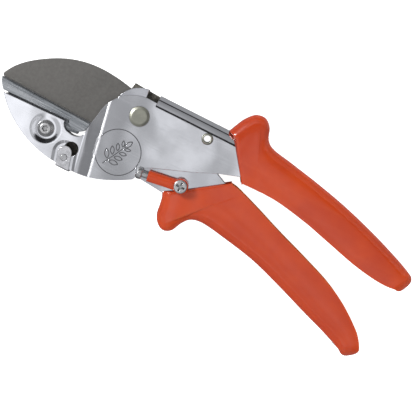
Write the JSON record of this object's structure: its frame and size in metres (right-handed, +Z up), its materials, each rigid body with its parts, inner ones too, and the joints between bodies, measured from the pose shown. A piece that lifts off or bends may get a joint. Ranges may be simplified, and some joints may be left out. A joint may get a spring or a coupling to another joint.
{
  "type": "anvil pruning shears",
  "caption": "Hand pruning shears: a pivoting blade closes on a flat anvil in pressed-steel handles with dipped grips, an internal spring and a swing catch.",
  "frame": {"origin": "centre of the bounding box in plan, on the plane the shears lie on", "axes": "+X from the blade's tip towards the grips, along the cutting edge; +Y towards the blade's back; +Z up from the side that the grips rest on"},
  "size_m": [0.2112, 0.0814, 0.0217],
  "materials": {
    "chromed_steel": "polished bright nickel-chrome plate",
    "bright_steel": "bright plated fasteners",
    "zinc_steel": "satin zinc plate, slightly yellow",
    "blade_steel": "matt grey ground blade",
    "anvil_metal": "satin soft metal",
    "bronze": "plain sintered bronze",
    "spring_steel": "drawn spring wire",
    "orange_vinyl": "glossy dipped vinyl"
  },
  "bodies": {
    "anvil_side": {"body_shell": "chromed_steel", "jaw_clip": "zinc_steel", "jaw_clip_rivet": "zinc_steel", "anvil": "anvil_metal", "anvil_screw": "bright_steel", "anvil_screw_nut": "zinc_steel", "pivot_rivet": "zinc_steel", "spring_pin": "bright_steel", "spring_cup_upper": "zinc_steel", "spring": "spring_steel", "upper_grip": "orange_vinyl"},
    "blade_side": {"lever_shell": "chromed_steel", "blade": "blade_steel", "blade_pin": "zinc_steel", "blade_spacers": "zinc_steel", "pivot_washers": "zinc_steel", "pivot_bush": "bronze", "spring_foot_pin": "zinc_steel", "spring_cup_lower": "zinc_steel", "lower_grip": "orange_vinyl", "catch_screw": "bright_steel", "catch_spacer": "zinc_steel", "catch_nut": "zinc_steel"},
    "catch": {"catch_arm": "zinc_steel", "catch_sleeve": "orange_vinyl", "catch_stud": "bright_steel"}
  },
  "joints": [
    {"name": "lever_open", "type": "hinge", "parent": "anvil_side", "child": "blade_side", "pos_m": [-0.04099, 0.01463, 0.008], "axis": [0, 0, -1], "range_deg": [0, 24], "deforming": ["spring"]},
    {"name": "catch_swing", "type": "hinge", "parent": "blade_side", "child": "catch", "pos_m": [-0.00989, -0.00487, 0.0174], "axis": [0, 0, 1], "range_deg": [0, 18]}
  ]
}
